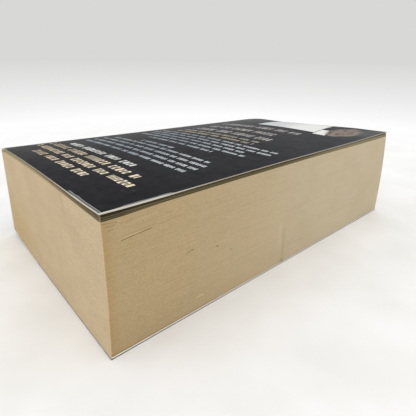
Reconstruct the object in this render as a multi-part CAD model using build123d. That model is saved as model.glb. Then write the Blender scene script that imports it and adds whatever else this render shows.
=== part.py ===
from build123d import *
import math
import os

os.makedirs("parts", exist_ok=True)

# A thick mass-market paperback lying on its front cover.
# +X runs from the spine to the fore-edge, +Y from head to tail, +Z from the front cover to the back cover.
# The origin is the middle of the footprint, on the table.

# Trimmed size
book_width = 106.0            # outer face of the spine to the cut edge of the covers
book_height = 172.0           # head to tail
book_thick = 47.5             # table to the highest line of the back cover

# Cover card and binding
card = 0.32                   # cover card with its laminate
spine_glue_thick = 0.55       # hot-melt on the backs of the leaves
side_glue_width = 6.0         # reach of the side glue from the outer face of the spine
slack = 0.15                  # air between a closed cover and the leaves, filled by side glue at the spine
fold_radius = 0.45            # outside of the two folds at the spine

# Shape taken on in use: the glued back is thinner than the loose leaves, and has slumped at the tail
back_run = 70.0               # distance from the spine over which the back cover bends in
front_run = 44.0              # the same for the front cover
back_dip = 1.4                # fall of the back cover from its flat part to its score, at the head
front_rise = 1.5              # rise of the front cover from the table to its score, at the head
back_slump = 3.1              # further fall of the back cover's score by the tail
front_slump = 1.1             # fall of the front cover's score by the tail
back_lean = 9.4               # slope of the back's strip between spine and score, in degrees
front_lean = 4.8              # the same for the front's strip
fore_bulge = 0.7              # swell of the fore-edge at half thickness
curl_run = 22.0               # width of the strip of the back cover that curls up at the fore-edge
curl_lift = 0.5               # height of that curl at the cut edge

# Scored hinges of the covers
score_in = 7.5                # score line from the outer face of the spine
nose = 0.26                   # round edge of a cover at its score
play = 0.08                   # air between that round edge and the strip glued beside it

# Positions tied to the sizes above
spine_x = -(book_width + fore_bulge) / 2
back_level = book_thick - curl_lift
leaf_back = card + spine_glue_thick
bed = card + slack


class Side:
    """Section of one cover: flat, then an arc down to the score, then a straight strip to the spine."""

    def __init__(self, level, run, dip, lean, out):
        self.level = level
        self.run = run
        self.dip = dip
        self.lean = math.radians(lean)
        self.out = out
        self.radius = ((run - score_in) ** 2 + dip ** 2) / (2 * dip)
        self.sweep = math.asin((run - score_in) / self.radius)
        self.along = Vector(math.cos(self.lean), out * math.sin(self.lean))

    def flat(self, u, depth):
        return Vector(u, self.level - self.out * depth)

    def arc(self, share, depth):
        reach = self.radius - depth
        angle = self.sweep * share
        rise = reach * math.cos(angle) - self.radius
        return Vector(self.run - reach * math.sin(angle), self.level + self.out * rise)

    def score(self, depth):
        middle = (self.sweep + self.lean) / 2
        reach = depth / math.cos((self.lean - self.sweep) / 2)
        fall = self.dip + reach * math.cos(middle)
        return Vector(score_in + reach * math.sin(middle), self.level - self.out * fall)

    def strip(self, u, depth):
        start = self.score(depth)
        return Vector(u, start.Y - self.out * (start.X - u) * math.tan(self.lean))

    def strip_end(self, depth):
        return self.score(depth) - self.along * (nose + play)

    def bend(self, depth):
        return ThreePointArc(self.score(depth), self.arc(0.5, depth), self.flat(self.run, depth))


# Each cover's section at the head and at the tail
back_head = Side(back_level, back_run, back_dip, back_lean, 1)
back_tail = Side(back_level, back_run, back_dip + back_slump, back_lean, 1)
front_head = Side(0, front_run, front_rise, front_lean, -1)
front_tail = Side(0, front_run, front_rise - front_slump, front_lean, -1)


def face_of(*edges):
    return Plane.XZ * make_face(list(edges))


def outline_of(*points):
    return Plane.XZ * make_face(Polyline(*points, close=True))


def run_of(section):
    """Carry one section drawn in the XZ plane from head to tail."""
    return Pos(spine_x, 0, 0) * extrude(section, amount=book_height / 2, both=True)


def twist_of(section):
    """Carry a section, which depends on the two covers, from its form at the head to its form at the tail."""
    at_head = Pos(spine_x, -book_height / 2, 0) * section(back_head, front_head)
    at_tail = Pos(spine_x, book_height / 2, 0) * section(back_tail, front_tail)
    return loft([at_head.face(), at_tail.face()], ruled=True)


# Page block: every leaf of the book as one solid, bent in towards the back, its fore-edge swollen
def bent_leaves(back, front):
    return face_of(
        Line(front.strip(leaf_back, bed), front.strip(side_glue_width, bed)),
        Line(front.strip(side_glue_width, bed), front.score(bed)),
        front.bend(bed),
        Line(front.flat(front_run, bed), front.flat(back_run, bed)),
        Line(front.flat(back_run, bed), back.flat(back_run, bed)),
        back.bend(bed),
        Line(back.score(bed), back.strip(side_glue_width, bed)),
        Line(back.strip(side_glue_width, bed), back.strip(leaf_back, bed)),
        Line(back.strip(leaf_back, bed), front.strip(leaf_back, bed)),
    )


fore_low = front_head.flat(book_width, bed)
fore_high = back_head.flat(book_width, bed)
fore_mid = Vector(book_width + fore_bulge, (fore_low.Y + fore_high.Y) / 2)
flat_leaves = face_of(
    Line(front_head.flat(back_run, bed), fore_low),
    ThreePointArc(fore_low, fore_mid, fore_high),
    Line(fore_high, back_head.flat(back_run, bed)),
    Line(back_head.flat(back_run, bed), front_head.flat(back_run, bed)),
)
page_block = twist_of(bent_leaves) + run_of(flat_leaves)


# Spine glue: the hot-melt on the backs of the leaves, with a thin leg along the first and the last leaf
def glue_section(back, front):
    return outline_of(
        back.strip(side_glue_width, card),
        back.strip(card, card),
        front.strip(card, card),
        front.strip(side_glue_width, card),
        front.strip(side_glue_width, bed),
        front.strip(leaf_back, bed),
        back.strip(leaf_back, bed),
        back.strip(side_glue_width, bed),
    )


spine_glue = twist_of(glue_section)


# Spine: the middle of the cover card, folded round the glue and stuck down as far as the scores
def spine_section(back, front):
    channel = outline_of(
        back.strip_end(0),
        back.strip(0, 0),
        front.strip(0, 0),
        front.strip_end(0),
        front.strip_end(card),
        front.strip(card, card),
        back.strip(card, card),
        back.strip_end(card),
    )
    folds = channel.vertices().sort_by(Axis.X)[:2]
    return fillet(folds, fold_radius)


spine = twist_of(spine_section)


def bent_cover(side):
    """The part of a cover between its score and its flat part."""
    return face_of(
        side.bend(0),
        Line(side.flat(side.run, 0), side.flat(side.run, card)),
        side.bend(card),
        Line(side.score(card), side.score(0)),
    )


def score_edge(head, tail):
    """Round edge of a cover, along the outside of its score line from head to tail."""
    start = Vector(spine_x + head.score(0).X, -book_height / 2, head.score(0).Y)
    end = Vector(spine_x + tail.score(0).X, book_height / 2, tail.score(0).Y)
    line = end - start
    bead = Plane(start + line / 2, z_dir=line) * Cylinder(nose, line.length + 4 * nose)
    return bead & Box(2 * book_width, book_height, 4 * book_thick)


# Front cover: flat on the table, rising to its score
flat_front = outline_of(
    front_head.flat(front_run, 0),
    front_head.flat(book_width, 0),
    front_head.flat(book_width, card),
    front_head.flat(front_run, card),
)
front_bend = twist_of(lambda back, front: bent_cover(front))
front_cover = front_bend + run_of(flat_front) + score_edge(front_head, front_tail)

# Back cover: dips to its score, and its cut edge curls up a little along the fore-edge
curl_radius = (curl_run ** 2 + curl_lift ** 2) / (2 * curl_lift)
curl_angle = math.asin(curl_run / curl_radius)


def curl(share, depth):
    reach = curl_radius + depth
    angle = curl_angle * share
    rise = curl_radius - reach * math.cos(angle)
    return Vector(book_width - curl_run + reach * math.sin(angle), back_level + rise)


flat_back = face_of(
    Line(back_head.flat(back_run, 0), curl(0, 0)),
    ThreePointArc(curl(0, 0), curl(0.5, 0), curl(1, 0)),
    Line(curl(1, 0), curl(1, card)),
    ThreePointArc(curl(1, card), curl(0.5, card), curl(0, card)),
    Line(curl(0, card), back_head.flat(back_run, card)),
    Line(back_head.flat(back_run, card), back_head.flat(back_run, 0)),
)
back_bend = twist_of(lambda back, front: bent_cover(back))
back_cover = back_bend + run_of(flat_back) + score_edge(back_head, back_tail)

pieces = {
    "page_block": page_block,
    "spine_glue": spine_glue,
    "spine": spine,
    "front_cover": front_cover,
    "back_cover": back_cover,
}
for node, solid in pieces.items():
    solid.label = node
    export_step(solid, f"parts/{node}.step")
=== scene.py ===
import math
from collections import namedtuple

import bpy
import numpy as np
from mathutils import Matrix, Vector


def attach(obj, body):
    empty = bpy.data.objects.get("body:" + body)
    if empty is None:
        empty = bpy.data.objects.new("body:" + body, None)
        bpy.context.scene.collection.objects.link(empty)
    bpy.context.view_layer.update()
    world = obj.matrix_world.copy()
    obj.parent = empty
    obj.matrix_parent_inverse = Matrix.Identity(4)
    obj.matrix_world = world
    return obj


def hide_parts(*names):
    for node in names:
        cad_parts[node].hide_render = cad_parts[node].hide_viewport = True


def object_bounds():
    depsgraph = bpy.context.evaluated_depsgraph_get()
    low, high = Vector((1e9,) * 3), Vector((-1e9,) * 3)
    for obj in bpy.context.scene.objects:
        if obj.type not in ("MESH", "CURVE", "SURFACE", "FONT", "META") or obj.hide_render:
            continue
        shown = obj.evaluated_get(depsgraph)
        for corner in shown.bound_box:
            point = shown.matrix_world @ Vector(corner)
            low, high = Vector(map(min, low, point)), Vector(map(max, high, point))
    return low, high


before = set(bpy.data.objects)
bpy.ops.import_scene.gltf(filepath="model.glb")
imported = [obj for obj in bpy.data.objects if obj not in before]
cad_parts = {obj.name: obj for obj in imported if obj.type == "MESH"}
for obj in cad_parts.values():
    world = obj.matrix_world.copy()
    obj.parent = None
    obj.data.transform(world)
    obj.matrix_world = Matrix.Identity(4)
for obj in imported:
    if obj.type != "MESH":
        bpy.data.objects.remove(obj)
cad_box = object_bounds()


# Leaves: some nine hundred sheets of toned groundwood paper, glued at the back and cut on the other three
# sides. The knife leaves each bundle a hair in front of or behind the next, with fine marks across them.
# The block is thinner at its back, has slumped at the tail, and its last leaves are dark at the cut.
mm = 0.001                    # one millimetre in metres
low_corner, high_corner = np.round(np.array(cad_box) / mm, 2).tolist()      # corners of the frame's box
spine_x = low_corner[0]       # outer face of the spine, from the middle of the footprint
half_height = high_corner[1]  # middle of the book to its head or tail
fore_bulge = 0.7              # swell of the fore-edge at half thickness
book_width = round(high_corner[0] - spine_x - fore_bulge, 2)      # spine to the cut edge of the covers
back_rise = 0.5               # flat part of the back cover to the highest line of the book
score_in = 7.5                # score line of each cover from the outer face of the spine
leaf_depth = 0.47             # outside of a cover to the nearest leaf
leaf_back = 0.87              # outer face of the spine to the backs of the leaves

# A cover's section: its level, the run from the spine over which it bends in, its fall to the score at
# head and tail, the slope of the strip beside the spine in degrees, the way outwards and the droop of its
# tail end
Side = namedtuple("Side", "level run dips lean out droop")
back_level = high_corner[2] - back_rise
back_side = Side(level=back_level, run=70.0, dips=(1.4, 4.5), lean=9.4, out=1, droop=1.9)
front_side = Side(level=0.0, run=44.0, dips=(1.5, 0.4), lean=4.8, out=-1, droop=0.0)
droop_span = (score_in, 36.0, 54.0, 94.0)     # from the spine: start of the droop, full from, full to, end
droop_run = 26.0              # length of the drooping end

block_thick = back_side.level - front_side.level - 2 * leaf_depth     # all the leaves, at the fore-edge
bundles = 140                 # bundles of leaves that the knife left flush
lot = 7                       # bundles that moved under the knife together
knots = 26                    # places round the block where a bundle's cut is drawn
cut_spread = 0.014            # spread of a bundle's cut from place to place
bundle_spread = 0.010         # spread of the cut from bundle to bundle
lot_spread = 0.014            # spread of the cut from lot to lot
inset_most = 0.10             # deepest that a bundle lies behind the knife's plane
corner_worn = 0.16            # how far the leaves' corners at the fore-edge have worn in
corner_reach = 0.4            # reach of that wear along the edges


def cover_line(u, y, side, depth=0.0):
    """Height of a cover at u from the spine and y along it: its level, less the fall of its section, which
    goes evenly from that at the head to that at the tail. A section falls by a circle's arc from the run's
    end to the score and by a straight line from there to the spine; the tail end droops by a parabola along
    y, spread over the width by a smooth step up and down. Depth lies along the section's normal."""
    bent = np.clip(side.run - u, 0, side.run - score_in)
    lean = math.radians(side.lean)
    falls = []
    for dip in side.dips:
        radius = ((side.run - score_in) ** 2 + dip ** 2) / (2 * dip)
        upright = np.sqrt(1 - (bent / radius) ** 2)
        falls.append(radius * (1 - upright) + depth / np.where(u < score_in, math.cos(lean), upright))
    share = (y + half_height) / (2 * half_height)
    fall = falls[0] * (1 - share) + falls[1] * share + np.clip(score_in - u, 0, None) * math.tan(lean)
    width = np.interp(u, droop_span, (0, 1, 1, 0))
    end = np.clip(1 - (half_height - y) / droop_run, 0, 1)
    fall = fall + side.droop * width * width * (3 - 2 * width) * end ** 2
    return side.level - side.out * fall


def spread(low, high, count):
    """Stations from low to high that crowd towards both ends: half a turn of a cosine."""
    turn = np.linspace(0, math.pi, count)
    return low + (high - low) * (1 - np.cos(turn)) / 2


def rim(rows, cols):
    """Places of a grid's border in the flattened grid, once round, the first column first."""
    place = np.arange(rows * cols).reshape(rows, cols)
    return np.concatenate([place[:, 0], place[-1, 1:], place[-2::-1, -1], place[0, -2:0:-1]])


def cells(place):
    """Four-cornered faces of a grid of vertex numbers: each cell with its next row and next column."""
    corners = [place[:-1, :-1], place[1:, :-1], place[1:, 1:], place[:-1, 1:]]
    return np.stack(corners, axis=-1).reshape(-1, 4)


def make_piece(name, points, faces, finishes, kinds, smooth):
    """Object of a mesh given in millimetres, with each face's finish and shading."""
    mesh = bpy.data.meshes.new(name)
    mesh.from_pydata(points * mm, [], faces)
    for finish in finishes:
        mesh.materials.append(finish.material)
    mesh.polygons.foreach_set("material_index", kinds.astype(np.int32))
    mesh.polygons.foreach_set("use_smooth", smooth)
    mesh.update()
    piece = bpy.data.objects.new(name, mesh)
    bpy.context.scene.collection.objects.link(piece)
    return piece


class Tone:
    """A number or colour that varies over a surface, held as a node socket: arithmetic adds Math nodes."""

    def __init__(self, tree, socket):
        self.tree = tree
        self.socket = socket

    def also(self, out):
        """Another output of the node this comes from."""
        return Tone(self.tree, self.socket.node.outputs[out])

    def math(self, operation, *others):
        """Math node of this and the others."""
        values = dict(enumerate((self,) + others))
        return self.tree.node("Math", {"operation": operation}, values)

    def __add__(self, other):
        return self.math("ADD", other)

    def __sub__(self, other):
        return self.math("SUBTRACT", other)

    def __rsub__(self, other):
        return self.tree.node("Math", {"operation": "SUBTRACT"}, {0: other, 1: self})

    def __mul__(self, other):
        return self.math("MULTIPLY", other)

    def __truediv__(self, other):
        return self.math("DIVIDE", other)

    def __rtruediv__(self, other):
        return self.tree.node("Math", {"operation": "DIVIDE"}, {0: other, 1: self})

    def __lt__(self, other):
        return self.math("LESS_THAN", other)

    def __gt__(self, other):
        return self.math("GREATER_THAN", other)

    def __abs__(self):
        return self.math("ABSOLUTE")

    def __floor__(self):
        return self.math("FLOOR")

    __radd__ = __add__
    __rmul__ = __mul__

    def least(self, other):
        return self.math("MINIMUM", other)

    def most(self, other):
        return self.math("MAXIMUM", other)

    def rise(self, low, high):
        """0 at low, 1 at high, and a smooth step between them."""
        sockets = {"Value": self, "From Min": low, "From Max": high}
        return self.tree.node("MapRange", {"interpolation_type": "SMOOTHSTEP"}, sockets)


class Tree:
    """A node tree. Its node method adds any node from its type, its settings and its sockets."""

    def __init__(self, nodes):
        self.nodes = nodes

    def feed(self, socket, value):
        """Link a Tone to a socket, or set any other value there."""
        if isinstance(value, Tone):
            self.nodes.links.new(value.socket, socket)
        else:
            socket.default_value = value

    def node(self, kind, settings, sockets, out=0):
        """One output of a new node, as a Tone."""
        made = self.nodes.nodes.new("ShaderNode" + kind)
        for name, value in settings.items():
            setattr(made, name, value)
        for key, value in sockets.items():
            self.feed(made.inputs[key], value)
        return Tone(self, made.outputs[out])


class Finish(Tree):
    """One material, with the textures and colour mixes it is built from."""

    def __init__(self, name):
        self.material = bpy.data.materials.new(name)
        self.material.use_nodes = True
        super().__init__(self.material.node_tree)
        self.shader = self.nodes.nodes["Principled BSDF"]

    def surface(self, **sockets):
        """Values or links of the shader's own sockets, their names written with _ for a space."""
        for key, value in sockets.items():
            self.feed(self.shader.inputs[key.replace("_", " ")], value)

    def place(self):
        """x, y and z on the piece, in millimetres."""
        spot = self.node("TexCoord", {}, {}, out="Object")
        spot = self.node("VectorMath", {"operation": "SCALE"}, {0: spot, "Scale": 1 / mm})
        x = self.node("SeparateXYZ", {}, {0: spot})
        return x, x.also(1), x.also(2)

    def noise(self, x, y, z, detail=2.0):
        """Cloudy noise about 0.5, one unit of x, y or z to a cloud."""
        spot = self.node("CombineXYZ", {}, {0: x, 1: y, 2: z})
        return self.node("TexNoise", {}, {"Vector": spot, "Scale": 1.0, "Detail": detail})

    def tint(self, mask, under, over):
        """Colour that goes from under to over as mask goes from 0 to 1."""
        return self.node("Mix", {"data_type": "RGBA"}, {0: mask, 6: under, 7: over}, out=2)

    def shade(self, colour, tone):
        """Colour times tone."""
        return self.node("VectorMath", {"operation": "SCALE"}, {0: colour, "Scale": tone})

    def bump(self, height, depth):
        """Normal of a surface whose height from 0 to 1 stands for depth millimetres."""
        sockets = {"Height": height, "Distance": depth * mm, "Strength": 1.0}
        return self.node("Bump", {}, sockets)

    def stroke(self, along, across, start, end, wide):
        """Soft line between two points: 1 near it and 0 beyond wide. The nearest point of the line is the
        point's projection on it, held between its ends."""
        step = np.subtract(end, start).tolist()
        share = ((along - start[0]) * step[0] + (across - start[1]) * step[1]) / math.hypot(*step) ** 2
        share = share.most(0.0).least(1.0)
        away = along - start[0] - share * step[0]
        aside = across - start[1] - share * step[1]
        return (away * away + aside * aside).math("SQRT").rise(wide, 0.25 * wide)


def ink(red, green, blue):
    """Linear colour of a screen colour from 0 to 255: the screen's power law undone."""
    screen = np.array([red, green, blue]) / 255
    linear = np.where(screen <= 0.04045, screen / 12.92, ((screen + 0.055) / 1.055) ** 2.4)
    return (*linear.tolist(), 1.0)


def way_round(u, y):
    """Way round the block's border from the near corner: below 0 along the head and back up the spine, above
    0 along the fore-edge and the tail."""
    on_head = (y == -half_height) * (u - book_width)
    on_tail = (y == half_height) * (book_width - u)
    on_spine = (u == leaf_back) * (np.abs(y) < half_height) * (leaf_back - book_width)
    return np.where(on_spine < 0, on_spine - y - half_height, on_head + on_tail + y + half_height)


def knife_insets(places):
    """How far each bundle lies behind the knife's plane at places round the block: the size of the sum of
    three normal draws, one for each knot with straight lines between them, one for each bundle and one for
    each lot, held below the deepest."""
    draw = np.random.default_rng(7)
    spot = np.linspace(0, knots - 1.001, places)      # ends a hair short of the last knot
    weight = np.clip(1 - np.abs(spot[:, None] - np.arange(knots)), 0, 1)
    ragged = draw.normal(0, cut_spread, (bundles, knots)) @ weight.T
    uneven = draw.normal(0, bundle_spread, (bundles, 1))
    moved = np.repeat(draw.normal(0, lot_spread, (bundles // lot, 1)), lot, axis=0)
    return np.clip(np.abs(ragged + (uneven + moved)), 0, inset_most)


def cut_sides(u, y, level):
    """Cut sides of the block over the border u, y of its plan, at levels from 0 at the first leaf to 1 at
    the last. The fore-edge swells as a parabola, each bundle is moved in by its insets, and wear at the
    corners falls off exponentially."""
    share = (u - leaf_back) / (book_width - leaf_back)
    low, high = cover_line(u, y, front_side, leaf_depth), cover_line(u, y, back_side, leaf_depth)
    inset = knife_insets(len(u)).repeat(2, axis=0)
    out_x = (u == book_width) * 1.0 - (u == leaf_back)
    out_y = np.sign(y) * (np.abs(y) == half_height)
    to_corner = (book_width - u) + (half_height - np.abs(y))
    worn_in = corner_worn * np.exp(-to_corner / corner_reach)
    x = u + fore_bulge * share * (1 - (2 * level - 1) ** 2) - out_x * inset - worn_in
    wall_y = y - out_y * inset - np.sign(y) * worn_in
    return np.stack([x, wall_y, low + (high - low) * level], axis=-1)


def cut_leaves(columns=44, stations=64):
    """Block of leaves as one closed surface: its cut sides, with two rows of points to a bundle, and a grid
    across its first and its last leaf. Comes with each point's way round and up."""
    across, along = spread(leaf_back, book_width, columns), spread(-half_height, half_height, stations)
    u, y = np.meshgrid(across, along, indexing="ij")
    border = rim(columns, stations)
    edge_u, edge_y = u.ravel()[border], y.ravel()[border]
    level = np.linspace(0, 1, bundles + 1)
    level = np.stack([level[:-1], level[1:]], axis=1).reshape(-1, 1)
    wall = cut_sides(edge_u, edge_y, level)
    inner = np.setdiff1d(np.arange(u.size), border)
    leaf_u, leaf_y = u.ravel()[inner], y.ravel()[inner]
    first = np.stack([leaf_u, leaf_y, cover_line(leaf_u, leaf_y, front_side, leaf_depth)], axis=-1)
    last = np.stack([leaf_u, leaf_y, cover_line(leaf_u, leaf_y, back_side, leaf_depth)], axis=-1)
    points = np.concatenate([wall.reshape(-1, 3), first, last])
    points[:, 0] += spine_x
    ring = np.arange(wall.shape[0] * wall.shape[1]).reshape(wall.shape[:2])
    under, over = np.empty(u.size, int), np.empty(u.size, int)
    under[border], over[border] = ring[0], ring[-1]
    under[inner] = ring.size + np.arange(inner.size)
    over[inner] = under[inner] + inner.size
    sides = cells(np.concatenate([ring, ring[:, :1]], axis=1))[:, ::-1]
    leaf_faces = [cells(under.reshape(u.shape))[:, ::-1], cells(over.reshape(u.shape))]
    faces = np.concatenate([sides, *leaf_faces])
    kinds = np.repeat([0, 1], [len(sides), len(faces) - len(sides)])
    run = np.broadcast_to(way_round(edge_u, edge_y), ring.shape)
    run = np.concatenate([run.ravel(), np.zeros(2 * inner.size)])
    leaf = np.repeat([0.0, block_thick], inner.size)
    leaf = np.concatenate([np.broadcast_to(level * block_thick, ring.shape).ravel(), leaf])
    return points, faces, kinds, run, leaf


paper = Finish("toned_paper_cut_edge")
x, y, z = paper.place()
# run: way round the block from the near corner, below 0 along the head; leaf: way up through the leaves
run = paper.node("Attribute", {"attribute_name": "run"}, {}, out="Fac")
leaf = paper.node("Attribute", {"attribute_name": "leaf"}, {}, out="Fac")
streak = paper.noise(run / 20, leaf / 0.5, 3.1, 3.0)
fine = paper.noise(run / 4, leaf / 0.2, 8.7, 2.0)
grain = paper.noise(run / 0.7, leaf / 0.45, 2.2, 2.0)
knife = paper.noise(run / 0.8, leaf / 24, 5.3, 2.0)
cloud = paper.noise(x / 17, y / 17, z / 13, 3.0)
on_fore = run.rise(-0.25, 0.25)

# Head: even, yellower low down by the spine. Fore-edge: paler towards the tail, golden at the near corner.
head_tone = paper.tint(cloud.rise(0.35, 0.7), ink(197, 176, 143), ink(203, 182, 149))
head_tone = paper.tint(0.8 * run.rise(-50, -98) * leaf.rise(32, 6), head_tone, ink(192, 168, 123))
fore_tone = paper.tint(run.rise(0, 130), ink(180, 157, 118), ink(197, 182, 154))
fore_tone = paper.tint(0.2 * cloud.rise(0.4, 0.7), fore_tone, ink(177, 159, 125))
fore_tone = paper.tint(0.6 * run.rise(4.5, 0), fore_tone, ink(172, 142, 97))
fore_tone = paper.shade(fore_tone, 1 - 0.06 * leaf.rise(18, 1) * run.rise(70, 0))
toned = paper.tint(on_fore, head_tone, fore_tone)
# Painted shade in a band along the foot of the fore-edge, just above the front cover's card
toned = paper.shade(toned, 1 - 0.4 * leaf.rise(1.1, 0.5) * on_fore)
toned = paper.tint(leaf.rise(0.42, 0.32) * on_fore, toned, ink(242, 234, 216))

# Marks of the cut, strongest by the near corner, and a painted highlight along that corner's edge
near = 1 - 0.6 * run.rise(25, 120) - 0.65 * run.rise(-8, -55)
marks = 0.1 * (streak - 0.5) + 0.24 * (fine - 0.5) + 0.4 * (grain - 0.5) + 0.05 * (knife - 0.5)
toned = paper.shade(toned, 1 + near * marks)
toned = paper.shade(toned, 1 + 0.1 * abs(run).rise(0.5, 0.1))

# Gaps between parted leaves and a nick in painted shade, then specks and rubs: colour, strength, both ends
# as run and leaf, and width
broken = 0.35 + 1.1 * grain
gap_shade, speck, pale = ink(104, 78, 38), ink(84, 72, 52), ink(224, 210, 180)
for colour, strength, start, end, wide in (
    (gap_shade, 0.5, (0.4, 43.6), (4.6, 43.1), 0.22),        # leaves parted by the corner
    (gap_shade, 0.5, (1.4, 42.5), (4.0, 42.4), 0.22),
    (gap_shade, 0.4, (1.9, 41.25), (3.5, 41.27), 0.22),
    (gap_shade, 0.75, (5.6, 37.3), (15.4, 38.0), 0.22),
    (pale, 0.3, (5.6, 37.7), (12.5, 38.2), 0.16),
    (gap_shade, 0.25, (9.5, 38.5), (17.5, 39.0), 0.15),
    (gap_shade, 0.28, (5.5, 42.3), (16.0, 42.9), 0.15),
    (gap_shade, 0.25, (11.0, 40.3), (24.0, 41.2), 0.15),
    (pale, 0.25, (7.0, 41.4), (18.0, 42.2), 0.15),
    (gap_shade, 0.25, (18.0, 38.4), (29.0, 39.3), 0.15),
    (gap_shade, 0.5, (27.8, 24.7), (30.2, 25.4), 0.32),      # nick
    (gap_shade, 0.45, (30.2, 25.4), (31.1, 25.2), 0.3),
    (speck, 0.6, (41.4, 22.65), (41.7, 22.55), 0.55),
    (speck, 0.45, (48.4, 18.95), (48.8, 18.75), 0.4),
    (pale, 0.35, (32.7, 5.4), (33.6, 5.9), 0.4),       # scrape
    (pale, 0.35, (33.6, 5.9), (34.9, 5.8), 0.4),
    (pale, 0.3, (34.9, 5.8), (35.8, 5.0), 0.4),
    (pale, 0.12, (78.0, 19.0), (78.2, 9.0), 2.2),      # rub
    (speck, 0.1, (80.4, 16.0), (81.0, 0.4), 1.8),      # smudge by the table
    (speck, 0.35, (81.0, 0.8), (81.2, 0.2), 1.6),
    (speck, 0.06, (-29.0, 46.0), (-28.0, 38.0), 2.0),  # faint stripe at the head
):
    toned = paper.tint(strength * broken * paper.stroke(run, leaf, start, end, wide), toned, colour)

# Last leaves: a dark strip under the back cover, lined by its leaves, with painted shade where they meet the
# card
below = block_thick - leaf
dark_fore = 1.14 + 0.5 * run.rise(24, 4) + 0.2 * run.rise(60, 20) + 0.45 * run.rise(90, 150)
dark_head = 1.5 + 0.25 * run.rise(-30, 0)
dark_thick = dark_head + on_fore * (dark_fore - dark_head)
dark = below.rise(dark_thick + 0.12, dark_thick - 0.12)
dark_tone = paper.tint(run.rise(-4, -60), ink(106, 93, 68), ink(156, 141, 111))
dark_tone = paper.tint(on_fore, dark_tone, ink(88, 79, 54))
dark_tone = paper.tint(run.rise(25, 70), dark_tone, ink(98, 89, 60))
dark_tone = paper.tint(run.rise(70, 130), dark_tone, ink(136, 124, 97))
dark_lines = paper.noise(run / 70, leaf / 0.2, 1.7, 2.0).rise(0.3, 0.7)
lined = 1 + 1.2 * (1 - 0.8 * abs(run).rise(20, 80)) * (dark_lines - 0.5)
shade_below_card = below.rise(0.5, 0.28) * (0.25 + 0.5 * on_fore) * (1 - 0.75 * run.rise(12, 30))
# The dark strip made darker by the near corner
darker_by_corner = 1 - 0.27 * on_fore * run.rise(11, 6)
dark_tone = paper.shade(dark_tone, lined * (0.64 + 0.72 * grain) * (1 - shade_below_card) * darker_by_corner)
# Painted highlight along the near corner's edge
dark_tone = paper.tint(0.5 * abs(run).rise(0.45, 0.1), dark_tone, ink(168, 150, 116))
paper.surface(Base_Color=paper.tint(dark, toned, dark_tone), Roughness=0.92, Specular_IOR_Level=0.2,
              Normal=paper.bump(0.6 * streak + 0.4 * fine, 0.03))

page = Finish("toned_paper_leaf")
x, y, z = page.place()
fibre = page.noise(x / 0.9, y / 0.35, z, 4.0)
age = page.noise(x / 30, y / 30, z / 30, 3.0)
page_tone = page.tint(age, ink(214, 196, 160), ink(206, 186, 148))
hem = (book_width - x + spine_x).least(half_height - abs(y))
page_tone = page.tint(hem.rise(1.0, 0.3) * z.rise(20, 30), page_tone, ink(100, 84, 58))
page_tone = page.shade(page_tone, 0.93 + 0.12 * fibre)
page.surface(Base_Color=page_tone, Roughness=0.95, Specular_IOR_Level=0.15)

points, faces, kinds, run_of_point, leaf_of_point = cut_leaves()
leaves = make_piece("leaves", points, faces, [paper, page], kinds, np.zeros(len(faces), bool))
for name, values in (("run", run_of_point), ("leaf", leaf_of_point)):
    way = leaves.data.attributes.new(name, "FLOAT", "POINT")
    way.data.foreach_set("value", values.astype(np.float32))
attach(leaves, "book")
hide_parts("page_block")


# Spine glue: hot-melt laid on the roughened backs of the leaves, with a thin leg of side glue along the
# first and the last leaf. It is milky, a little yellowed, and shows only as a line at head and tail.
glue = Finish("hot_melt")
x, y, z = glue.place()
milk = glue.noise(x / 1.5, y / 4, z / 2, 3.0)
glue_tone = glue.tint(milk, ink(196, 178, 138), ink(221, 208, 176))
glue.surface(Base_Color=glue_tone, Roughness=0.45 + 0.2 * milk)
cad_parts["spine_glue"].data.materials.clear()
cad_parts["spine_glue"].data.materials.append(glue.material)


# Spine: the middle of the cover card, folded square round the glued back and stuck down as far as the
# scores. White board, printed black outside under a thin matt film, its folds rubbed and its ends cut flush
# with the leaves.
card = 0.32                   # cover card with its film
fold_radius = 0.45            # outside of the two folds
score_gap = 0.34              # score line to the end of the strip that is stuck down
spine_middle = 22.5           # middle line of the spine above the table
fold_rub = (18.5, 21.3)       # from that line: where the rubbing of the folds starts and where it is full
film_coat = 0.23              # weight of the film's own reflection


def card_sheet(name, outer, inner, finishes, hinge_rows=()):
    """Sheet of card from two grids of points: each grid's cells, the inner ones turned over, and a wall
    round their borders. Finishes are those of the outside, the inside and the cut edge; a wall along a
    hinge row takes that of the outside."""
    rows, cols = outer.shape[:2]
    place = np.arange(rows * cols).reshape(rows, cols)
    border = rim(rows, cols)
    after = np.roll(border, -1)
    size = rows * cols
    wall = np.stack([size + border, size + after, after, border], axis=-1)
    faces = np.concatenate([cells(place), size + cells(place)[:, ::-1], wall])
    count = (rows - 1) * (cols - 1)
    kinds = np.repeat([0, 1, 2], [count, count, len(wall)])
    row_of = border // cols
    hinge = np.isin(row_of, hinge_rows) & np.isin(np.roll(row_of, -1), hinge_rows)
    kinds[2 * count:][hinge] = 0
    points = np.concatenate([outer.reshape(-1, 3), inner.reshape(-1, 3)])
    return make_piece(name, points, faces, finishes, kinds, kinds < 2)


def film(name):
    """Black print under matt film: its Finish, the way from the spine, from the head and up, the tone with
    its faint rubs, and the haze that also clouds the sheen."""
    finish = Finish(name)
    x, y, z = finish.place()
    rub = finish.noise(x / 26, y / 20, z / 20, 5.0)
    haze = finish.noise(x / 3.5, y / 3.5, z / 3.5, 4.0)
    scratch = finish.noise(x / 0.25 + 0.3 * y, y / 30, z / 0.4, 2.0).rise(0.72, 0.76)
    black = finish.tint(rub.rise(0.4, 0.75), ink(9, 10, 18), ink(16, 17, 25))
    black = finish.tint(0.2 * scratch * haze.rise(0.45, 0.7), black, ink(110, 110, 112))
    finish.surface(Roughness=0.5 + 0.15 * haze.rise(0.3, 0.8), Specular_IOR_Level=0.0,
                   Coat_Weight=film_coat * (0.6 + 0.8 * haze), Coat_Roughness=0.12)
    return finish, (x - spine_x, y + half_height, z), black, haze


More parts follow.
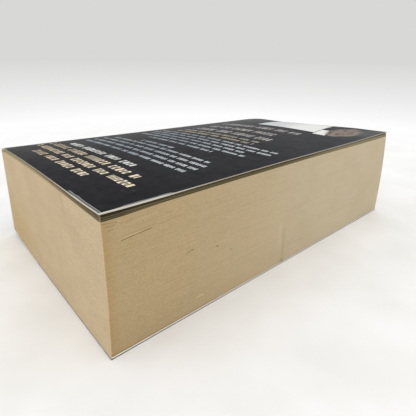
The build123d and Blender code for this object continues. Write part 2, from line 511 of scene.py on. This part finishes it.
def cut_edge(name, dull, bright):
    """Frayed cut edge of the board: its Finish, the way from the spine, from the head and up, and a tone
    that goes from dull to bright by a noise in thin layers."""
    finish = Finish(name)
    x, y, z = finish.place()
    fray = finish.noise(x / 0.8, y / 0.8, z / 0.1, 4.0)
    finish.surface(Roughness=0.9, Specular_IOR_Level=0.2)
    return finish, (x - spine_x, y + half_height, z), finish.tint(fray, dull, bright)


def spine_section(y, strip_steps=12, fold_steps=8, back_steps=26):
    """Outside and inside of the spine card along y: in from one strip end, round its fold, down the spine,
    round the other fold and out again. Each fold is a quarter circle, and the inside lies one card in along
    the normal."""
    strip = np.linspace(score_in - score_gap, fold_radius, strip_steps)[:, None] + 0 * y
    top, low = cover_line(strip, y, back_side), cover_line(strip, y, front_side)
    turn = np.linspace(0, math.pi / 2, fold_steps)[1:, None] + 0 * y
    round_u = fold_radius * (1 - np.sin(turn))
    upper, lower = top[-1] - fold_radius, low[-1] + fold_radius
    share = np.linspace(0, 1, back_steps)[1:-1, None]
    flat = upper + (lower - upper) * share
    u = np.concatenate([strip, round_u, 0 * flat, round_u[::-1], strip[::-1]])
    z = np.concatenate([top, upper + fold_radius * np.cos(turn), flat,
                        (lower - fold_radius * np.cos(turn))[::-1], low[::-1]])
    step_u, step_z = np.gradient(u, axis=0), np.gradient(z, axis=0)
    length = np.hypot(step_u, step_z)
    y = y + 0 * u
    outer = np.stack([u + spine_x, y, z], axis=-1)
    return outer, outer + card * np.stack([-step_z / length, 0 * u, step_u / length], axis=-1)


board = Finish("white_board_inside")
x, y, z = board.place()
fibre = board.noise(x / 0.5, y / 0.5, z, 4.0)
age = board.noise(x / 40, y / 40, z / 40, 3.0)
board_tone = board.tint(age, ink(226, 219, 202), ink(218, 208, 186))
board_tone = board.shade(board_tone, 0.94 + 0.1 * fibre)
board.surface(Base_Color=board_tone, Roughness=0.8, Specular_IOR_Level=0.3)

spine_cut, _, cut_tone = cut_edge("cut_board_edge", ink(200, 192, 172), ink(240, 236, 224))
spine_cut.surface(Base_Color=cut_tone)

spine_film, (u, down, z), black, haze = film("spine_film")
fold = abs(z - spine_middle).rise(*fold_rub) * u.rise(1.4, 0.3)
head_rub = down.rise(1.2, 0.2) * (haze + u.rise(7, 2)).rise(0.5, 0.9)
worn = (0.5 * fold * haze.rise(0.5, 0.75)).most(head_rub)
spine_film.surface(Base_Color=spine_film.tint(worn, black, ink(176, 170, 158)))
outer, inner = spine_section(spread(half_height, -half_height, 48))
spine = card_sheet("cover_spine", outer, inner, [spine_film, board, spine_cut])
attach(spine, "book")
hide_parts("spine")


# Front cover: one leaf of the cover card, flat on the table and rising to its score, where it folds open.
# The same white board under black print and matt film. Its frayed cut edge is dark along its foot: the film
# there, widened by painted shade against the table.
fray_lift = 0.13              # swelling of the card at its cut fore-edge
fray_run = 3.0                # width of the swollen strip
film_and_shade_line = (0.36, 0.33)      # above the table: where the cut edge darkens and where it is dark


def cover_grid(stations, side, lift=None, columns=72):
    """Outside and inside of a cover: its section from the score to the fore-edge along the stations, with
    lift added to its height, and the inside one card in along the normal."""
    u, y = np.meshgrid(spread(score_in, book_width, columns), stations, indexing="ij")
    z = cover_line(u, y, side)
    if lift is not None:
        z = z + lift(u, y + half_height)
    slope = np.gradient(z, axis=0) / np.gradient(u, axis=0)
    length = np.sqrt(1 + slope ** 2)
    outer = np.stack([u + spine_x, y, z], axis=-1)
    under = np.stack([slope / length, np.zeros_like(u), -1 / length], axis=-1)
    return outer, outer + side.out * card * under


def edge_way(u, down):
    """Way to the nearest of the cover's three cut edges."""
    return down.least(2 * half_height - down).least(book_width - u)


def frayed(u):
    """Swelling of the front card at its cut fore-edge: a parabola over its last few millimetres."""
    return fray_lift * np.clip((u - book_width + fray_run) / fray_run, 0, 1) ** 2


front_film, (u, down, _), black, haze = film("front_film")
worn = edge_way(u, down).rise(0.2 + 0.25 * haze, 0.08 * haze)
front_film.surface(Base_Color=front_film.tint(worn, black, ink(205, 200, 188)))

front_cut, (_, down, z), cut_tone = cut_edge("cut_board_edge_front", ink(240, 234, 220), ink(252, 250, 244))
# Painted shade: browner along the head, where the card rises off the table
cut_tone = front_cut.tint(down.rise(1.0, 0.3), cut_tone, ink(206, 184, 146))
# Dark along the foot: the film, widened by painted shade against the table
cut_tone = front_cut.tint(z.rise(*film_and_shade_line), cut_tone, ink(14, 13, 12))
front_cut.surface(Base_Color=cut_tone)

outer, inner = cover_grid(spread(half_height, -half_height, 84), front_side)
inner[..., 2] += frayed(outer[..., 0] - spine_x)
front = card_sheet("cover_front", outer, inner, [front_film, board, front_cut], hinge_rows=(0,))
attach(front, "front")
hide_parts("front_cover")


# Back cover: the other leaf of the cover card, uppermost here, bending down to its score. Pale type covers
# most of it, with a white panel and a mottled oval at the tail. Its fore-edge has curled up, the film has
# lifted along the head by the corner, and the print has rubbed off the fore-edge there.
curl_run = 22.0               # width of the strip that curls up at the fore-edge
curl_least = 0.05             # height of the curl at the head
curl_swell = (0.3, 72.0, 36.0)      # what its swell adds: height, place from the head and reach
curl_tail = (0.4, 140.0)      # what its rise to the tail adds: height and start from the head
corner_lift = 0.2             # rise of the near corner
corner_run = 6.0              # reach of that rise
press = 0.055                 # how far the head edge is pressed down
press_run = 14.0              # width of the pressed strip
film_start = 83.0             # lifted film at the head, from the spine
film_wide = 1.15              # its width
film_ramp = 4.0               # run over which it lifts
rub_end = 25.0                # rubbed fore-edge, from the head
rub_fade = 8.0                # run over which the crushing under it ends
crush_wide = (1.0, 0.3)       # width of that crushing, at the head and at the end of the rub
crush_outside = 0.06          # its depth on the outside of the card
crush_inside = 0.03           # and on the inside


def crushed(u, down):
    """Share of the crushing at the near corner: 1 at the cut edge, falling linearly over the lifted film's
    width along the head and over the rubbed strip's width along the fore-edge."""
    head = np.clip(1 - down / film_wide, 0, 1) * np.clip((u - film_start) / film_ramp, 0, 1)
    wide = np.interp(down, (0, rub_end), crush_wide)
    ends = np.clip((rub_end + rub_fade / 2 - down) / rub_fade, 0, 1)
    side = np.clip(1 - (book_width - u) / wide, 0, 1) * ends
    return np.maximum(head, side)


def curl(u, down):
    """Lift of the back cover: along the fore-edge a parabola in u, its top a bell curve along the edge and a
    parabola up to the tail; a bell round the near corner; less a parabola's press along the head and the
    crushing."""
    swell, swell_at, swell_run = curl_swell
    tail, tail_at = curl_tail
    up_to_tail = np.clip((down - tail_at) / (2 * half_height - tail_at), 0, 1)
    top = curl_least + swell * np.exp(-((down - swell_at) / swell_run) ** 2) + tail * up_to_tail ** 2
    lift = top * np.clip((u - book_width + curl_run) / curl_run, 0, 1) ** 2
    corner = corner_lift * np.exp(-((book_width - u) ** 2 + down ** 2) / corner_run ** 2)
    pressed = press * np.clip(1 - down / press_run, 0, 1) ** 2
    return lift + corner - pressed - crush_outside * crushed(u, down)


# A size of type: distance of its lines, height, width of a letter's place and half the slit in large letters
Type = namedtuple("Type", "pitch tall letter slit")


def type_lines(finish, u, down, size, middle, half, first, rows, ragged):
    """Lines of type as plain blocks. The nearest line is the rounded count of pitches from the first, and a
    block lies within its height of it and within the line's half length of the middle. Along a line each
    letter's place draws its own width and height, one place of every word's run stays empty, and a slit
    opens the large ones."""
    word_run = 6.5                # places to a word
    gap_first, gap_range = 1.2, 3.6       # its empty place: the first it can be, and how far on it can lie
    row_shift, row_seed = 37.7, 61.3      # keep the letters of one line from standing over the next line's
    dice_1d = {"noise_dimensions": "1D"}
    count = (down - first) / size.pitch
    row = math.floor(count + 0.5)
    off = abs(count - row) * (size.pitch / size.tall)
    place = (u + row_shift * row) / size.letter + first
    number = math.floor(place)
    share = place - number
    dice = finish.node("TexWhiteNoise", dice_1d, {"W": number + row_seed * row + first}, out="Color")
    split = finish.node("SeparateColor", {}, {0: dice})
    wide, high = split.also(1), split.also(2)
    word = math.floor(number / word_run)
    spot = finish.node("TexWhiteNoise", dice_1d, {"W": word + first})
    empty = abs(number - word_run * word - gap_first - gap_range * spot) < 0.5
    short = finish.node("TexWhiteNoise", dice_1d, {"W": row + first})
    inside = (row > -0.5) * (row < rows - 0.5) * (abs(u - middle) < half * (1 - ragged * short))
    block = (1 - empty) * (share < 0.56 + 0.24 * wide) * (off < 0.42 + 0.08 * (high > 0.5))
    in_slit = (abs(share - 0.3 - 0.16 * high) < size.slit) * (off < 0.2 + 0.3 * (wide > 0.6))
    return inside * block * (1 - (split > 0.25) * in_slit)


back_film, (u, down, _), black, haze = film("back_film")
# Painted sheen: the black greyed towards the spine and, a little bluer, towards the tail
coat = back_film.tint(0.105 * u.rise(45, 8), black, ink(124, 124, 122))
coat = back_film.tint(0.07 * down.rise(70, 130), coat, ink(124, 128, 132))

# Type: size and colour, then middle and half length of the lines, place of the first, their number and rag
large = Type(pitch=6.2, tall=3.6, letter=2.5, slit=0.13)
second = Type(pitch=6.2, tall=3.5, letter=2.4, slit=0.13)
text = Type(pitch=4.85, tall=2.1, letter=1.25, slit=0.0)
close_text = Type(pitch=4.75, tall=2.1, letter=1.25, slit=0.0)
wide_text = Type(pitch=4.9, tall=2.8, letter=1.6, slit=0.0)
tall = Type(pitch=9.0, tall=6.0, letter=2.4, slit=0.13)
cream = back_film.tint(u.rise(20, 80), ink(196, 178, 148), ink(240, 226, 198))
white = ink(228, 228, 224)
pale_blue = back_film.tint(u.rise(45, 88), ink(158, 171, 180), ink(206, 213, 217))
gold, grey = ink(173, 161, 140), ink(178, 172, 168)
skew = down - 0.025 * (u - 70) * down.rise(140, 40)     # the upper lines lean a little
for size, colour, middle, half, first, rows, ragged in (
    (large, cream, 47.0, 26.0, 10.7, 1, 0.0),
    (large, cream, 50.5, 42.2, 16.7, 1, 0.0),
    (large, cream, 47.0, 39.0, 22.9, 1, 0.0),
    (second, white, 46.0, 30.0, 29.3, 1, 0.0),
    (text, pale_blue, 51.0, 42.0, 39.0, 4, 0.2),
    (text, pale_blue, 46.0, 13.0, 58.0, 1, 0.0),
    (text, pale_blue, 51.0, 24.5, 66.2, 1, 0.0),
    (close_text, pale_blue, 51.0, 40.0, 71.0, 2, 0.15),
    (close_text, pale_blue, 53.0, 43.5, 80.5, 2, 0.0),
    (wide_text, gold, 48.0, 31.0, 91.3, 2, 0.25),
    (tall, grey, 48.0, 29.0, 104.6, 1, 0.0),
    (tall, grey, 46.0, 26.0, 116.4, 1, 0.0),
    (tall, grey, 48.0, 30.0, 129.4, 1, 0.0),
):
    printed = type_lines(back_film, u, skew, size, middle, half, first, rows, ragged)
    coat = back_film.tint(0.92 * printed, coat, colour)

# White panel and the tab beyond its slanting end, then the oval
panel_start = 37.5            # the panel's edge towards the spine
panel_end = 101.5             # its slanting end, drawn on to the head
tab_start = 102.1             # the tab's slanting side next to it, drawn on to the head
tab_end = 365.5               # the tab's other side, drawn on to the line of the spine
panel_middle, panel_half = 155.0, 14.4        # middle from the head, and half length
tab_middle, tab_half = 144.0, 7.0
oval_middle, oval_half = (90.8, 152.5), (8.8, 15.5)       # across and along the book
slant = u + 0.16 * down
panel = (u > panel_start) * (slant < panel_end) * (abs(down - panel_middle) < panel_half)
tab = (slant > tab_start) * (abs(down - tab_middle) < tab_half) * (down + 2.6 * u < tab_end)
panel_tone = back_film.tint(u.rise(48, 66), ink(203, 206, 207), ink(232, 232, 228))
panel_tone = back_film.shade(panel_tone, 0.92 + 0.16 * haze)
coat = back_film.tint(panel.most(tab), coat, panel_tone)
oval_u = (u - oval_middle[0]) / oval_half[0]
oval_down = (down - oval_middle[1]) / oval_half[1]
oval = (oval_u * oval_u + oval_down * oval_down).rise(1.1, 0.6)
mottle = back_film.noise(u / 2.2, down / 6.0, 6.1, 4.0)
oval_tone = back_film.tint(mottle.rise(0.3, 0.66), ink(78, 74, 71), ink(160, 141, 127))
coat = back_film.tint(0.85 * oval, coat, oval_tone)

# Painted sheen on the tail corner; wear: two scuffs, worn edges and the rubbed fore-edge; then the lifted
# film, with painted sheen and a painted highlight along its rim
coat = back_film.tint(0.4 * u.rise(88, 100) * down.rise(135, 160), coat, ink(110, 112, 110))
for start, end in (((93.8, 13.0), (94.4, 13.3)), ((96.0, 15.5), (96.6, 15.8))):
    scuff = 0.3 * haze * back_film.stroke(u, down, start, end, 0.4)
    coat = back_film.tint(scuff, coat, ink(150, 148, 144))
fore = book_width - u
worn = edge_way(u, down).rise(0.12 + 0.2 * haze, 0.05 * haze)
worn = worn * (0.4 + 0.6 * fore.rise(1.0, 0.5) * down.rise(60, 20))
tail_rub = (fore + 0.4 * haze).rise(1.1, 0.6) * down.rise(70, 150) * 0.35
rub_wide = (0.65 + 0.75 * down.rise(3, 10)) * (0.5 + haze) * down.rise(rub_end, rub_end - 2)
rubbed = fore.rise(rub_wide, 0.7 * rub_wide)
film_edge = film_wide * (0.55 + 0.6 * haze)
# Painted sheen on the lifted film at the head, and a painted highlight along its rim
lifted_film_sheen = u.rise(film_start - 0.3, film_start + 1.5) * down.rise(film_edge + 0.1, film_edge)
film_rim_highlight = lifted_film_sheen * down.rise(film_edge - 0.3, film_edge - 0.12)
bared = u.rise(film_start + 2, film_start + 6) * down.rise(0.1 + 0.25 * haze, 0.05 + 0.2 * haze)
bared = bared.most(fore.rise(0.55, 0.35) * down.rise(rub_end, rub_end - 6))
coat = back_film.tint(lifted_film_sheen, coat, ink(94, 95, 96))
coat = back_film.tint(film_rim_highlight, coat, ink(150, 151, 152))
coat = back_film.tint(rubbed, coat, ink(124, 126, 128))
coat = back_film.tint(worn.most(tail_rub).most(bared), coat, ink(214, 208, 192))
back_film.surface(Base_Color=coat)

back_cut, (u, down, _), cut_tone = cut_edge("cut_board_edge_back", ink(186, 179, 162), ink(216, 212, 200))
cut_tone = back_cut.tint(u.rise(86, 60).most(down.rise(18, 45)), cut_tone, ink(166, 158, 138))
cut_tone = back_cut.tint(0.7 * down.rise(90, 160), cut_tone, ink(132, 125, 104))
back_cut.surface(Base_Color=cut_tone)

outer, inner = cover_grid(spread(-half_height, half_height, 132), back_side, curl)
inner[..., 2] -= crush_inside * crushed(outer[..., 0] - spine_x, outer[..., 1] + half_height)
back = card_sheet("cover_back", outer, inner, [back_film, board, back_cut], hinge_rows=(0,))
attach(back, "back")
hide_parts("back_cover")


# Stage: a pale table top, faintly mottled, that lies under the book and is no part of it. Beyond the book it
# glows to white, and from there it fades into the grey of the room.
floor_reach = 12000.0         # radius of the table top
glow_span = (150, 420)        # from the middle of the book: where the glow starts and where it is full
white_reach = 390             # how far out the table is white
room_grey = ink(216, 216, 215)


def disc(reach, rings=40, spokes=96):
    """Flat disc: rings whose radius grows as the third power of their number, on spokes, closed at the
    middle."""
    radius = reach * np.linspace(0, 1, rings)[1:, None] ** 3
    turn = np.linspace(0, 2 * math.pi, spokes, endpoint=False)
    level = np.zeros((rings - 1, spokes))
    ring = np.stack([radius * np.cos(turn), radius * np.sin(turn), level], axis=-1)
    points = np.concatenate([ring.reshape(-1, 3), np.zeros((1, 3))])
    place = np.arange(ring.shape[0] * spokes).reshape(-1, spokes)
    place = np.concatenate([place, place[:, :1]], axis=1)
    middle = np.full(spokes, len(points) - 1)
    centre = np.stack([middle, place[0, :-1], place[0, 1:]], axis=-1)
    return points, cells(place).tolist() + centre.tolist()


def seen_ray(tree):
    """1 for rays that show a surface as it is: straight to the camera, mirrored or let through."""
    ray = tree.node("LightPath", {}, {}, out="Is Camera Ray")
    return ray.most(ray.also("Is Glossy Ray")).most(ray.also("Is Transmission Ray"))


table = Finish("pale_table")
x, y, _ = table.place()
far = (x * x + y * y).math("SQRT")
mottle = table.noise(x / 30, y / 30, 0.0, 5.0).rise(0.3, 0.7)
table_tone = table.tint(mottle, ink(246, 246, 244), ink(254, 254, 254))
table.surface(Base_Color=table_tone, Roughness=0.7, Specular_IOR_Level=0.2)
fade = table.tint((1 - white_reach / far).most(0.0), ink(254, 254, 254), room_grey)
glow = table.node("Emission", {}, {"Color": fade, "Strength": 1.0})
glowing = seen_ray(table) * far.rise(*glow_span)
plain = Tone(table, table.shader.outputs[0])
mixed = table.node("MixShader", {}, {0: glowing, 1: plain, 2: glow})
table.feed(table.nodes.nodes["Material Output"].inputs["Surface"], mixed)
points, faces = disc(floor_reach)
flat = np.zeros(len(faces), bool)     # one finish, and no smooth face
table_top = make_piece("table_top", points, faces, [table], flat, flat)


# Light: an even white room, which is grey where it is looked at, and one large soft lamp that hangs above
# the head of the book and faces it.
scene = bpy.context.scene
scene.view_settings.view_transform = "Standard"
room_light = 0.975            # even light of the room, 1 being white on a white sheet
lamp_place = Vector((200.0, -500.0, 1600.0)) * mm
lamp_aim = Vector((0.0, 0.0, 20.0)) * mm
world = bpy.data.worlds.new("room")
world.use_nodes = True
scene.world = world
room = Tree(world.node_tree)
light_tone = (room_light, room_light, room_light, 1.0)
sky = room.node("Mix", {"data_type": "RGBA"}, {0: seen_ray(room), 6: light_tone, 7: room_grey}, out=2)
room.feed(world.node_tree.nodes["Background"].inputs["Color"], sky)
lamp_data = bpy.data.lights.new("key", "AREA")
lamp_data.size = 1400 * mm
lamp_data.energy = 2.5
lamp = bpy.data.objects.new("key", lamp_data)
facing = (lamp_aim - lamp_place).to_track_quat("-Z", "Y")
lamp.matrix_world = Matrix.Translation(lamp_place) @ facing.to_matrix().to_4x4()
scene.collection.objects.link(lamp)


# Camera: a wide lens close to the near corner and a little above the book, turned to look along it. Its
# frame is shifted below the lens axis.
camera_place = Vector((134.228, -120.636, 85.64)) * mm
heading, pitch, roll = 48.546, 73.205, 0.581      # in degrees
camera_data = bpy.data.cameras.new("camera")
camera_data.sensor_width = 36.0
camera_data.lens = 30.726
camera_data.shift_y = -0.0994
camera_data.clip_start = 10 * mm
camera = bpy.data.objects.new("camera", camera_data)
view = Matrix.Translation(camera_place)
for degrees, axis in ((heading, "Z"), (pitch, "X"), (roll, "Z")):
    view = view @ Matrix.Rotation(math.radians(degrees), 4, axis)
camera.matrix_world = view
scene.collection.objects.link(camera)
scene.camera = camera
